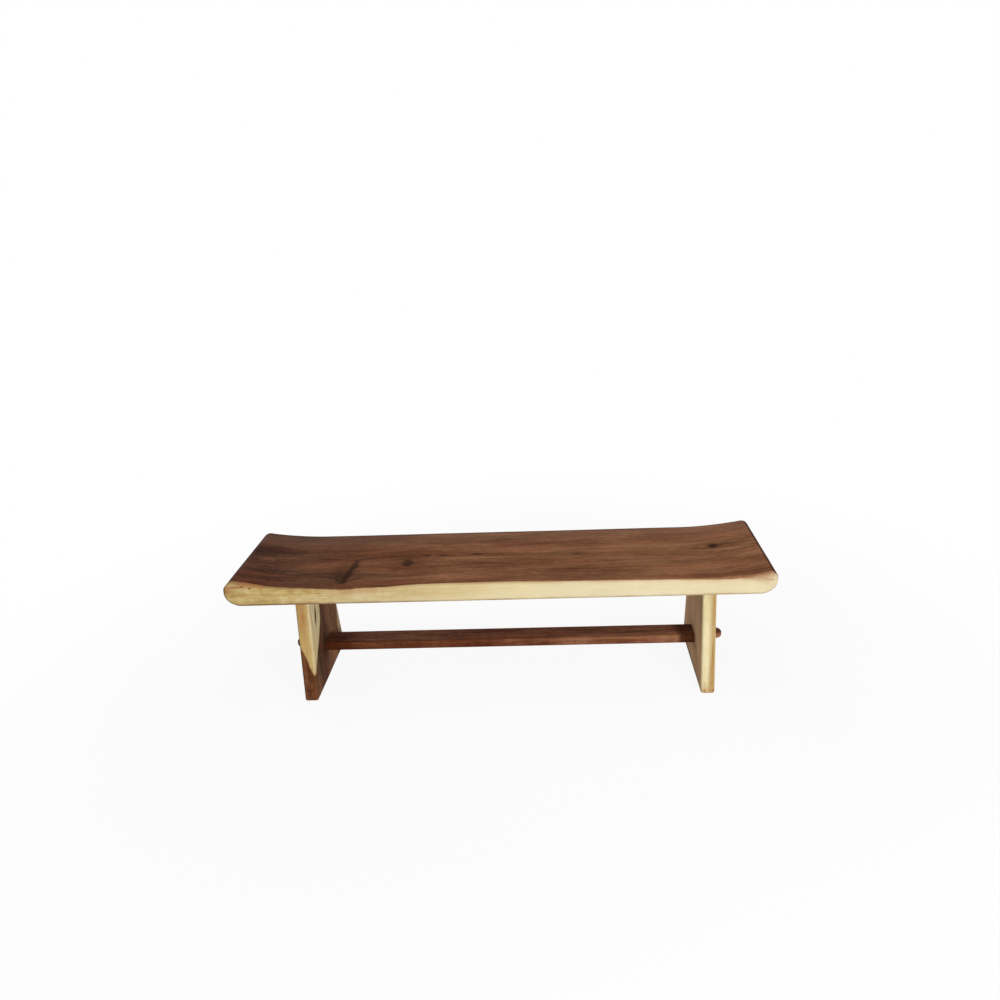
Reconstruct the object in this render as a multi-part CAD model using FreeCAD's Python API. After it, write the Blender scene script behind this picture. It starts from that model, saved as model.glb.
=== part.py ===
import FreeCAD, Part
import math
import os

from FreeCAD import Vector

# A long plank bench: one dished slab on two slab legs, tied by a low stretcher whose tenons pass
# through the legs and are held by tusk keys. Millimetres, +Z up, +X along the bench, -Y to the front.
# The origin is on the floor, under the middle of the seat.

# Seat slab: flat in the middle, swept up to a crest at each end, with rounded noses.
# The shares are of the height of the slab's ends, and the nose is a little longer than it is high.
SEAT_LENGTH = 1800.0
SEAT_WIDTH = 446.0
SEAT_THICKNESS = 61.0
SEAT_HEIGHT = 450.0
END_RISE = 20.0
UPSWEEP_RUN = 230.0
CREST_SHARE = 0.32
NOSE_SHARE = 0.57
NOSE_STRETCH = 1.18
SEAT_EDGE_ROUND = 10.0

# Legs: upright slabs, wider at the foot than at the top
LEG_THICKNESS = 48.0
LEG_TOP_WIDTH = 284.0
LEG_FOOT_WIDTH = 402.0
LEG_EDGE_ROUND = 9.0
LEFT_OVERHANG = 204.0
RIGHT_OVERHANG = 176.0

# Stretcher: a flat rail laid between the legs, shouldered down to a through tenon at each end
STRETCHER_WIDTH = 84.0
STRETCHER_THICKNESS = 32.0
STRETCHER_HEIGHT = 125.0
STRETCHER_EDGE_ROUND = 6.0
TENON_WIDTH = 42.0
TENON_THICKNESS = 23.0
LEFT_TENON_PROJECTION = 63.0
RIGHT_TENON_PROJECTION = 54.0
TENON_TIP_ROUND = 9.0
TENON_CLEARANCE = 0.2

# Tusk keys: tapered wedges dropped through the projecting tenons, tight against the legs.
# The slot in the tenon starts a little inside the leg's face, so that the key draws the joint up.
KEY_THICKNESS = 14.0
KEY_TOP_WIDTH = 21.0
KEY_TIP_WIDTH = 13.0
KEY_LENGTH = 84.0
KEY_STAND = 34.0
KEY_END_CHAMFER = 1.5
KEY_CLEARANCE = 0.2
KEY_DRAW = 4.0

# Dowels: fluted hardwood pins, half in the leg and half in the seat, in a row along each leg's top
DOWEL_DIAMETER = 20.0
DOWEL_LENGTH = 80.0
DOWEL_PITCH = 66.0
DOWEL_CHAMFER = 2.0
DOWEL_FLUTE_RADIUS = 1.2
DOWEL_CLEARANCE = 0.1
DOWEL_END_GAP = 2.0
DOWEL_COUNT = 4
DOWEL_FLUTE_COUNT = 8

# How far a cut runs past the faces that it opens
OVERRUN = 10.0

# Places that several pieces share
SIDES = ("left", "right")
OUTWARD = {"left": -1, "right": 1}
SEAT_HALF_LENGTH = SEAT_LENGTH / 2
SEAT_UNDERSIDE = SEAT_HEIGHT - SEAT_THICKNESS
LEG_OUTER_FACE = {
    "left": LEFT_OVERHANG - SEAT_HALF_LENGTH,
    "right": SEAT_HALF_LENGTH - RIGHT_OVERHANG,
}
TENON_PROJECTION = {"left": LEFT_TENON_PROJECTION, "right": RIGHT_TENON_PROJECTION}
TENON_BOTTOM = STRETCHER_HEIGHT - TENON_THICKNESS / 2
TENON_TOP = STRETCHER_HEIGHT + TENON_THICKNESS / 2
KEY_TOP = TENON_TOP + KEY_STAND
KEY_BOTTOM = KEY_TOP - KEY_LENGTH


def leg_inner_face(side):
    return LEG_OUTER_FACE[side] - OUTWARD[side] * LEG_THICKNESS


def box_between(corner, opposite):
    """A box between two opposite corners, given in any order."""
    low = Vector(*(min(a, b) for a, b in zip(corner, opposite)))
    size = [abs(a - b) for a, b in zip(corner, opposite)]
    return Part.makeBox(*size, low)


def line_edge(start, end):
    return Part.LineSegment(start, end).toShape()


def on_circle(centre, radius, angle):
    """The point of a circle in the XZ plane, at an angle from +X towards +Z."""
    return centre + Vector(radius * math.cos(angle), 0, radius * math.sin(angle))


def arc_edge(centre, radius, start, end):
    """An arc in the XZ plane, between two angles."""
    angles = (start, (start + end) / 2, end)
    return Part.Arc(*[on_circle(centre, radius, angle) for angle in angles]).toShape()


def oval_edge(centre, length, height):
    """A quarter of an oval in the XZ plane, from its lowest point to its far end in +X."""
    oval = Part.Ellipse(centre + Vector(length, 0, 0), centre + Vector(0, 0, height), centre)
    return Part.ArcOfEllipse(oval, -math.pi / 2, 0).toShape()


def seat_end_edges(front):
    """The right end of the seat's outline, from the underside up: nose, end face, crest and upsweep.

    The crest and the upsweep are circles that touch, so that one runs smoothly into the other.
    """
    quarter = math.pi / 2
    end_height = SEAT_THICKNESS + END_RISE
    nose_height = end_height * NOSE_SHARE
    nose_length = nose_height * NOSE_STRETCH
    crest_radius = end_height * CREST_SHARE
    centres_apart = (UPSWEEP_RUN**2 + END_RISE**2) / (2 * END_RISE)
    upsweep_radius = centres_apart - crest_radius
    slope = math.asin(UPSWEEP_RUN / centres_apart)
    nose = Vector(SEAT_HALF_LENGTH - nose_length, front, SEAT_UNDERSIDE + nose_height)
    crest = Vector(SEAT_HALF_LENGTH - crest_radius, front, SEAT_HEIGHT + END_RISE - crest_radius)
    upsweep = Vector(crest.x - UPSWEEP_RUN, front, SEAT_HEIGHT + upsweep_radius)
    return [
        oval_edge(nose, nose_length, nose_height),
        line_edge(nose + Vector(nose_length, 0, 0), on_circle(crest, crest_radius, 0)),
        arc_edge(crest, crest_radius, 0, quarter + slope),
        arc_edge(upsweep, upsweep_radius, slope - quarter, -quarter),
    ]


def seat_outline(front):
    """The seat seen from the front: its right end, the mirror image of that, and the two flats."""
    right = seat_end_edges(front)
    left = [edge.mirror(Vector(0, front, 0), Vector(1, 0, 0)) for edge in right]
    underside_end = right[0].Vertexes[0].Point
    flat_end = right[-1].Vertexes[-1].Point
    underside = line_edge(underside_end, Vector(-underside_end.x, front, underside_end.z))
    flat = line_edge(flat_end, Vector(-flat_end.x, front, flat_end.z))
    return Part.Wire(Part.__sortEdges__([*right, flat, *left, underside]))


def dowel_places(side):
    """The middles of one leg's dowels, where the leg's top meets the seat."""
    across = LEG_OUTER_FACE[side] - OUTWARD[side] * LEG_THICKNESS / 2
    first = -DOWEL_PITCH * (DOWEL_COUNT - 1) / 2
    return [Vector(across, first + i * DOWEL_PITCH, SEAT_UNDERSIDE) for i in range(DOWEL_COUNT)]


def dowel_hole(place):
    """The hole for one dowel, through the joint, a little wider than the dowel and deeper at both ends."""
    depth = DOWEL_LENGTH + 2 * DOWEL_END_GAP
    radius = DOWEL_DIAMETER / 2 + DOWEL_CLEARANCE
    return Part.makeCylinder(radius, depth, place - Vector(0, 0, depth / 2))


def seat_slab():
    slab = Part.Face(seat_outline(-SEAT_WIDTH / 2)).extrude(Vector(0, SEAT_WIDTH, 0))
    arrises = [edge for edge in slab.Edges if edge.BoundBox.YLength < SEAT_WIDTH / 2]
    slab = slab.makeFillet(SEAT_EDGE_ROUND, arrises)
    return slab.cut([dowel_hole(place) for side in SIDES for place in dowel_places(side)])


def leg(side):
    """A slab with sloped front and back edges, eased all round but at the top, where the seat lies on it."""
    face = LEG_OUTER_FACE[side]
    corners = [
        Vector(face, -LEG_FOOT_WIDTH / 2, 0),
        Vector(face, LEG_FOOT_WIDTH / 2, 0),
        Vector(face, LEG_TOP_WIDTH / 2, SEAT_UNDERSIDE),
        Vector(face, -LEG_TOP_WIDTH / 2, SEAT_UNDERSIDE),
    ]
    outline = Part.makePolygon([*corners, corners[0]])
    slab = Part.Face(outline).extrude(Vector(-OUTWARD[side] * LEG_THICKNESS, 0, 0))
    eased = [edge for edge in slab.Edges if edge.BoundBox.ZMin < SEAT_UNDERSIDE / 2]
    slab = slab.makeFillet(LEG_EDGE_ROUND, eased)
    mortise_half = TENON_WIDTH / 2 + TENON_CLEARANCE
    mortise = box_between(
        (leg_inner_face(side) - OUTWARD[side] * OVERRUN, -mortise_half, TENON_BOTTOM - TENON_CLEARANCE),
        (face + OUTWARD[side] * OVERRUN, mortise_half, TENON_TOP + TENON_CLEARANCE),
    )
    return slab.cut([mortise, *[dowel_hole(place) for place in dowel_places(side)]])


def tenon_tip(side):
    """The part of a tenon that stands past its leg: half round in plan, its level edges eased."""
    half = TENON_WIDTH / 2
    start = LEG_OUTER_FACE[side]
    end = start + OUTWARD[side] * TENON_PROJECTION[side]
    bend = end - OUTWARD[side] * half
    plan = ((start, -half), (bend, -half), (bend, half), (start, half))
    corners = [Vector(x, y, TENON_BOTTOM) for x, y in plan]
    nose = Part.Arc(corners[1], Vector(end, 0, TENON_BOTTOM), corners[2]).toShape()
    edges = [
        line_edge(corners[0], corners[1]),
        nose,
        line_edge(corners[2], corners[3]),
        line_edge(corners[3], corners[0]),
    ]
    tip = Part.Face(Part.Wire(edges)).extrude(Vector(0, 0, TENON_THICKNESS))
    level = [edge for edge in tip.Edges if edge.BoundBox.ZLength < TENON_THICKNESS / 2]
    eased = [edge for edge in level if edge.BoundBox.XLength > TENON_TIP_ROUND / 2]
    return tip.makeFillet(TENON_TIP_ROUND, eased)


def key_width(height):
    """The key's width at a height: it tapers evenly from its top to its tip."""
    return KEY_TIP_WIDTH + (KEY_TOP_WIDTH - KEY_TIP_WIDTH) * (height - KEY_BOTTOM) / KEY_LENGTH


def key_block(side, bottom, top, inset, thickness):
    """The key's tapered block between two heights, with its upright face set inside the leg's by an inset."""
    face = LEG_OUTER_FACE[side]
    inner = face - OUTWARD[side] * inset
    corners = [
        Vector(inner, -thickness / 2, bottom),
        Vector(face + OUTWARD[side] * key_width(bottom), -thickness / 2, bottom),
        Vector(face + OUTWARD[side] * key_width(top), -thickness / 2, top),
        Vector(inner, -thickness / 2, top),
    ]
    return Part.Face(Part.makePolygon([*corners, corners[0]])).extrude(Vector(0, thickness, 0))


def stretcher():
    """The rail between the legs, with its two tenons and the tapered slot for a key through each of them."""
    rail = box_between(
        (leg_inner_face("left"), -STRETCHER_WIDTH / 2, STRETCHER_HEIGHT - STRETCHER_THICKNESS / 2),
        (leg_inner_face("right"), STRETCHER_WIDTH / 2, STRETCHER_HEIGHT + STRETCHER_THICKNESS / 2),
    )
    arrises = [edge for edge in rail.Edges if edge.BoundBox.XLength > LEG_THICKNESS]
    rail = rail.makeFillet(STRETCHER_EDGE_ROUND, arrises)
    for side in SIDES:
        shank = box_between(
            (leg_inner_face(side), -TENON_WIDTH / 2, TENON_BOTTOM),
            (LEG_OUTER_FACE[side], TENON_WIDTH / 2, TENON_TOP),
        )
        slot_width = KEY_THICKNESS + 2 * KEY_CLEARANCE
        slot = key_block(side, TENON_BOTTOM - OVERRUN, TENON_TOP + OVERRUN, KEY_DRAW, slot_width)
        rail = rail.fuse([shank, tenon_tip(side)]).cut(slot)
    return rail.removeSplitter()


def tusk_key(side):
    """A tapered key that bears on the leg's outer face and on the outer wall of its slot in the tenon."""
    key = key_block(side, KEY_BOTTOM, KEY_TOP, 0, KEY_THICKNESS)
    ends = [edge for edge in key.Edges if edge.BoundBox.ZLength < KEY_LENGTH / 2]
    return key.makeChamfer(KEY_END_CHAMFER, ends)


def dowel(place):
    """A pin with chamfered ends and straight glue flutes down its side."""
    bottom = place - Vector(0, 0, DOWEL_LENGTH / 2)
    pin = Part.makeCylinder(DOWEL_DIAMETER / 2, DOWEL_LENGTH, bottom)
    rims = [edge for edge in pin.Edges if edge.BoundBox.ZLength < DOWEL_LENGTH / 2]
    pin = pin.makeChamfer(DOWEL_CHAMFER, rims)
    flutes = []
    for i in range(DOWEL_FLUTE_COUNT):
        angle = 2 * math.pi * i / DOWEL_FLUTE_COUNT
        out = Vector(math.cos(angle), math.sin(angle), 0) * (DOWEL_DIAMETER / 2)
        flutes.append(Part.makeCylinder(DOWEL_FLUTE_RADIUS, DOWEL_LENGTH, bottom + out))
    return pin.cut(flutes)


pieces = {"seat_slab": seat_slab(), "stretcher": stretcher()}
for side in SIDES:
    pieces[f"{side}_leg"] = leg(side)
    pieces[f"{side}_tusk_key"] = tusk_key(side)
    for number, place in enumerate(dowel_places(side), start=1):
        pieces[f"{side}_leg_dowel_{number}"] = dowel(place)

os.makedirs("parts", exist_ok=True)
for name, shape in pieces.items():
    shape.Solids[0].exportStep(f"parts/{name}.step")
    print(name, "solids:", len(shape.Solids), "valid:", shape.isValid())
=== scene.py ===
import math

import bmesh
import bpy
from mathutils import Matrix, Vector


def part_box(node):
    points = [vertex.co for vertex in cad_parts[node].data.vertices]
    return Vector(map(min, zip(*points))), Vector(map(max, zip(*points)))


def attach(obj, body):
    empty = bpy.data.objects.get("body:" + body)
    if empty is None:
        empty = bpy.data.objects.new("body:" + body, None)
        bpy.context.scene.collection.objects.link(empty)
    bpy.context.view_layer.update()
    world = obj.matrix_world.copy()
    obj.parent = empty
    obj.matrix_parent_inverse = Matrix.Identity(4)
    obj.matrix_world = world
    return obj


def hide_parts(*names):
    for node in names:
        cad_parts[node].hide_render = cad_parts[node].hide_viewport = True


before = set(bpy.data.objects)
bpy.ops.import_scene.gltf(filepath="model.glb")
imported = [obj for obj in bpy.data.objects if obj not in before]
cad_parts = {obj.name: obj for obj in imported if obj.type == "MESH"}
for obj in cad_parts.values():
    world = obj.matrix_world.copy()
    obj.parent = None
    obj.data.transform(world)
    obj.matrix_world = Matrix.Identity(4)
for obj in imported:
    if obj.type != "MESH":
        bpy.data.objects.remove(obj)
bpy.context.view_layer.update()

# Legs
# Two slabs of the same tree as the seat stand across the bench, narrow at the seat and wide at the foot.
# The grain runs upright, pale sapwood is left along the front edges, and a mortise goes through for the rail.
LEG_TOP_WIDTH = 0.284
LEG_FOOT_WIDTH = 0.402
LEG_EASING = 0.009
LEG_WAVE = 0.0007
LEG_WAVE_LENGTH = 0.11
LEG_SCORES = ((2, 0.020, 0.380, 0.020), (1, -0.180, 0.180, 0.020))
LEG_RING = 0.0075
LEG_ROUGHNESS = 0.50
MORTISE_WIDTH = 0.0432
MORTISE_HEIGHT = 0.0242
MORTISE_PASS = 0.01
RAIL_MIDDLE_HEIGHT = 0.125
EASING_STEPS = 6
SMOOTH_ANGLE = 40
FACING = 0.9
NEAR = 0.0001
DOUBLES = 0.00001


def start_block(name, low, high):
    """A cube added at its size and place, left open in edit mode with nothing selected."""
    low, high = Vector(low), Vector(high)
    bpy.ops.object.select_all(action="DESELECT")
    bpy.ops.mesh.primitive_cube_add(size=1, location=(low + high) / 2, scale=high - low)
    block = bpy.context.object
    block.name = block.data.name = name
    bpy.ops.object.transform_apply(location=True, rotation=True, scale=True)
    bpy.ops.object.mode_set(mode="EDIT")
    bpy.ops.mesh.select_all(action="DESELECT")
    return block


def pick(kind, test):
    """Selects the open piece's edges or faces that pass a test on their place and their run or normal."""
    bpy.ops.mesh.select_mode(type=kind)
    bpy.ops.mesh.select_all(action="DESELECT")
    mesh = bpy.context.object.data
    shape = bmesh.from_edit_mesh(mesh)
    if kind == "EDGE":
        for edge in shape.edges:
            start, end = (corner.co for corner in edge.verts)
            edge.select_set(test((start + end) / 2, end - start))
    else:
        for face in shape.faces:
            face.select_set(test(face.calc_center_median(), face.normal))
    shape.select_flush_mode()
    bmesh.update_edit_mesh(mesh)


def score(axis, first, last, step):
    """Divides the open piece across an axis at even steps, so that its faces can take a slight wave."""
    for i in range(round((last - first) / step) + 1):
        place, facing = Vector(), Vector()
        place[axis], facing[axis] = first + i * step, 1
        bpy.ops.mesh.select_all(action="SELECT")
        bpy.ops.mesh.bisect(plane_co=place, plane_no=facing)


def ease(size, steps, test):
    """Rounds the edges that pass a test, as a plane and sandpaper take off an arris."""
    pick("EDGE", test)
    bpy.ops.mesh.bevel(offset=size, segments=steps, affect="EDGES", clamp_overlap=False)


def close_shape():
    """Ends edit mode with doubles merged and faces outwards."""
    bpy.ops.mesh.select_all(action="SELECT")
    bpy.ops.mesh.remove_doubles(threshold=DOUBLES)
    bpy.ops.mesh.normals_make_consistent(inside=False)
    bpy.ops.object.mode_set(mode="OBJECT")


def use_modifier(piece, kind, **settings):
    """Adds a modifier to a piece with its settings and applies it."""
    bpy.context.view_layer.objects.active = piece
    added = piece.modifiers.new(kind.title(), kind)
    for name, value in settings.items():
        setattr(added, name, value)
    bpy.ops.object.modifier_apply(modifier=added.name)


def hand_wave(piece, depth, length, group=""):
    """Takes a shallow uneven skim off a piece's faces, as hand sanding does, so that it only gets smaller."""
    unevenness = bpy.data.textures.new(piece.name + "_unevenness", "CLOUDS")
    unevenness.noise_scale = length
    use_modifier(
        piece,
        "DISPLACE",
        texture=unevenness,
        texture_coords="LOCAL",
        strength=-depth,
        mid_level=0,
        vertex_group=group,
    )


def cut_away(piece, cutter):
    """Takes one block out of a piece, as a chisel does, and removes the block."""
    use_modifier(piece, "BOOLEAN", operation="DIFFERENCE", solver="EXACT", object=cutter)
    bpy.data.objects.remove(cutter)


def finish_piece(piece, material, node):
    """Smooths a piece's rounded edges, gives it its finish and lets it stand for its CAD node."""
    bpy.ops.object.select_all(action="DESELECT")
    piece.select_set(True)
    bpy.context.view_layer.objects.active = piece
    bpy.ops.object.shade_smooth_by_angle(angle=math.radians(SMOOTH_ANGLE))
    use_modifier(piece, "WEIGHTED_NORMAL", keep_sharp=True)
    piece.data.materials.clear()
    piece.data.materials.append(material)
    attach(piece, "root")
    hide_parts(node)


def cut_leg(side):
    """A tapered slab with eased edges and its mortise."""
    low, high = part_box(side + "_leg")
    leg = start_block(
        side + "_leg_slab",
        (low.x, -LEG_FOOT_WIDTH / 2, low.z),
        (high.x, LEG_FOOT_WIDTH / 2, high.z),
    )
    pick("FACE", lambda place, normal: normal.z > FACING)
    bpy.ops.transform.resize(value=(1, LEG_TOP_WIDTH / LEG_FOOT_WIDTH, 1), center_override=(0, 0, high.z))
    ease(LEG_EASING, EASING_STEPS, lambda place, run: abs(run.z) > NEAR or place.z < low.z + NEAR)
    for axis, first, last, step in LEG_SCORES:
        score(axis, first, last, step)
    close_shape()
    hand_wave(leg, LEG_WAVE, LEG_WAVE_LENGTH)
    mortise = start_block(
        "mortise",
        (low.x - MORTISE_PASS, -MORTISE_WIDTH / 2, RAIL_MIDDLE_HEIGHT - MORTISE_HEIGHT / 2),
        (high.x + MORTISE_PASS, MORTISE_WIDTH / 2, RAIL_MIDDLE_HEIGHT + MORTISE_HEIGHT / 2),
    )
    close_shape()
    cut_away(leg, mortise)
    return leg


class Shade:
    """One output of a shader's nodes: arithmetic on it adds Math nodes, and node() adds any other kind."""

    def __init__(self, tree, socket=None):
        self.tree = tree
        self.socket = socket

    def node(self, kind, settings=None, inputs=None, output=0):
        """Adds a node with its settings and inputs, linked where they are Shades, and gives one output."""
        made = self.tree.nodes.new(kind)
        for name, value in (settings or {}).items():
            if name == "stops":
                for i, (place, colour) in enumerate(value):
                    stop = made.color_ramp.elements[i] if i < 2 else made.color_ramp.elements.new(place)
                    stop.position, stop.color = place, colour
            elif name == "easing":
                made.color_ramp.interpolation = value
            else:
                setattr(made, name, value)
        for name, value in (inputs or {}).items():
            if isinstance(value, Shade):
                self.tree.links.new(value.socket, made.inputs[name])
            else:
                made.inputs[name].default_value = value
        return Shade(self.tree, made.outputs[output] if made.outputs else None)

    def math(self, operation, *values):
        return self.node("ShaderNodeMath", {"operation": operation}, dict(enumerate(values)))

    def __add__(self, other):
        return self.math("ADD", self, other)

    def __radd__(self, other):
        return self.math("ADD", other, self)

    def __sub__(self, other):
        return self.math("SUBTRACT", self, other)

    def __rsub__(self, other):
        return self.math("SUBTRACT", other, self)

    def __mul__(self, other):
        return self.math("MULTIPLY", self, other)

    def __rmul__(self, other):
        return self.math("MULTIPLY", other, self)

    def __truediv__(self, other):
        return self.math("DIVIDE", self, other)

    def fade(self, start, end):
        """0 up to start and 1 from end on, smooth between."""
        return self.node(
            "ShaderNodeMapRange",
            {"interpolation_type": "SMOOTHSTEP"},
            {"Value": self, "From Min": start, "From Max": end},
        )

    def mix(self, first, second):
        """A colour that goes from the first to the second as this value goes from 0 to 1."""
        return self.node("ShaderNodeMix", {"data_type": "RGBA"}, {0: self, 6: first, 7: second}, 2)

    def ramp(self, *stops):
        """A colour read by this value from stops, each a place and a colour."""
        return self.node("ShaderNodeValToRGB", {"stops": stops}, {"Fac": self})

    def noise(self, along, across, deep, detail=2.0, roughness=0.5):
        """Noise of a size of about 1, read at a place made of three values."""
        place = self.node("ShaderNodeCombineXYZ", None, {"X": along, "Y": across, "Z": deep})
        inputs = {"Vector": place, "Scale": 1.0, "Detail": detail, "Roughness": roughness}
        return self.node("ShaderNodeTexNoise", None, inputs)


def screen(red, green, blue):
    """A colour as it looks on a screen, from 0 to 255, as the linear colour that a shader takes."""
    return tuple(((c / 255 + 0.055) / 1.055) ** 2.4 for c in (red, green, blue)) + (1.0,)


# Colours of the wood; those with three stops go from its dark grain to its light.
HEART_STOPS = ((0.15, screen(56, 32, 22)), (0.5, screen(117, 78, 54)), (0.85, screen(168, 120, 87)))
LIGHT_HEART_STOPS = (
    (0.15, screen(158, 116, 82)),
    (0.5, screen(212, 172, 132)),
    (0.85, screen(232, 200, 158)),
)
HEART_RED = screen(128, 66, 42)
HEART_OLIVE = screen(106, 74, 48)
HEART_GREY = screen(150, 126, 112)
WARM_BROWN = screen(140, 86, 48)
KNOT_BROWN = screen(46, 23, 15)
SAP_TAN = screen(196, 152, 102)
SAP_ORANGE = screen(198, 138, 82)
GOLDEN_SAP = ((0.2, screen(186, 150, 88)), (0.5, screen(213, 184, 119)), (0.8, screen(232, 210, 154)))
CREAM_SAP = ((0.2, screen(212, 194, 148)), (0.5, screen(228, 214, 177)), (0.8, screen(238, 229, 202)))
YELLOW_SAP = ((0.2, screen(206, 182, 128)), (0.5, screen(230, 211, 161)), (0.8, screen(239, 226, 188)))
PALE_SAP = ((0.2, screen(212, 191, 141)), (0.5, screen(232, 217, 170)), (0.8, screen(241, 231, 198)))
REAR_SAP = ((0.2, screen(170, 140, 104)), (0.5, screen(200, 172, 136)), (0.8, screen(222, 200, 166)))
EDGE_TAN = screen(184, 147, 90)
FOOT_TAN = screen(190, 154, 104)
FOOT_BLOT = screen(176, 116, 66)

# Relief and gleam of every wood, the legs' pith lines, and marks on the left leg.
WOOD_GLEAM = 0.005
RELIEF_STRENGTH = 0.35
RELIEF_DEPTH = 0.0006
LEFT_LEG_PITH = (0.42, -0.86)
RIGHT_LEG_PITH = (0.46, 0.95)
SLIT = ((0.283, -0.0955), (0.031, 0.0068), 14)
FOOT_LINES = ((0.046, 0.30), (0.030, 0.44))


def new_finish(name):
    """An empty material and its x, y and z."""
    material = bpy.data.materials.new(name)
    material.use_nodes = True
    material.node_tree.nodes.clear()
    base = Shade(material.node_tree)
    place = base.node("ShaderNodeTexCoord", output="Object")
    return material, [place.node("ShaderNodeSeparateXYZ", None, {"Vector": place}, i) for i in range(3)]


def figure(along, across, deep, pith, ring, seed):
    """A board's figure, from the growth rings round the tree's middle: its tone, redness, fibre and pores.
    along runs with the grain, pith is the tree's middle line, and ring is the width of a group of rings."""
    sway = along.noise(along * 1.3 + seed, across * 5, deep * 5) - 0.5
    ripple = along.noise(along * 7 + seed, across * 14, deep * 14) - 0.5
    aside = across + sway * 0.016 + ripple * 0.004 - pith[0]
    below = deep - sway * 0.008 - pith[1]
    out = along.math("SQRT", aside * aside + below * below)
    rings = along.noise(out / ring, along * 5.5 + seed, seed, 5, 0.66)
    bands = along.noise(out / (ring * 5), along * 2.2 + seed, seed + 9, 3, 0.55)
    streak = along.noise(out / ring, along * 40 + seed, seed + 50, 4, 0.68)
    cloud = along.noise(along * 3.6 + seed, across * 11, deep * 11, 3, 0.55)
    vein = along.noise(out / (ring * 1.2), along * 1.4 + seed, seed + 21, 2).fade(0.60, 0.74)
    red = along.noise(along * 2.4 + seed, out / (ring * 6), seed + 33, 3).fade(0.36, 0.68)
    fibre = along.noise(along * 9, across * 330, deep * 330, 3, 0.6)
    pore = along.noise(along * 55, across * 1150, deep * 1150, 1).fade(0.62, 0.74)
    tone = rings * 0.56 + bands * 0.40 + cloud * 0.55 + streak * 0.45 + fibre * 0.38 - vein * 0.10 - 0.67
    return tone, red, fibre, pore


def heart_wood(tone, red, pore, stops):
    """The colour of heartwood from its figure: brown that turns to red or olive, with dark open pores."""
    colour = tone.ramp(*stops)
    colour = (red * 0.26).mix(colour, HEART_RED)
    colour = (red.fade(0.35, 0.0) * 0.12).mix(colour, HEART_OLIVE)
    return (pore * 0.35).mix(colour, KNOT_BROWN)


def wood_surface(material, colour, tone, fibre, pore, roughness):
    """Joins a wood's colour, gloss and fine relief in its surface."""
    relief = fibre * 0.5 + tone * 0.35 - pore * 0.6
    bump = fibre.node(
        "ShaderNodeBump",
        None,
        {"Height": relief, "Strength": RELIEF_STRENGTH, "Distance": RELIEF_DEPTH},
    )
    surface = fibre.node(
        "ShaderNodeBsdfPrincipled",
        None,
        {
            "Base Color": colour,
            "Roughness": roughness + fibre * 0.16 + pore * 0.12,
            "Specular IOR Level": WOOD_GLEAM,
            "Normal": bump,
        },
    )
    surface.node("ShaderNodeOutputMaterial", None, {"Surface": surface})
    return material


def leg_half_width(z):
    """How far a leg's front and rear edges are from its middle at a height, from its taper."""
    slope = (LEG_FOOT_WIDTH - LEG_TOP_WIDTH) / 2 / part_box("left_leg")[1].z
    return LEG_FOOT_WIDTH / 2 - z * slope


def mark(first, second, middle, size, turn=0.0):
    """A soft oval mark on a face, 1 at its middle, from two coordinates, half sizes and a turn in degrees."""
    aside, deep = first - middle[0], second - middle[1]
    if turn:
        cosine, sine = math.cos(math.radians(turn)), math.sin(math.radians(turn))
        aside, deep = aside * cosine + deep * sine, deep * cosine - aside * sine
    aside, deep = aside / size[0], deep / size[1]
    return first.math("EXPONENT", (aside * aside + deep * deep) * -1)


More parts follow.
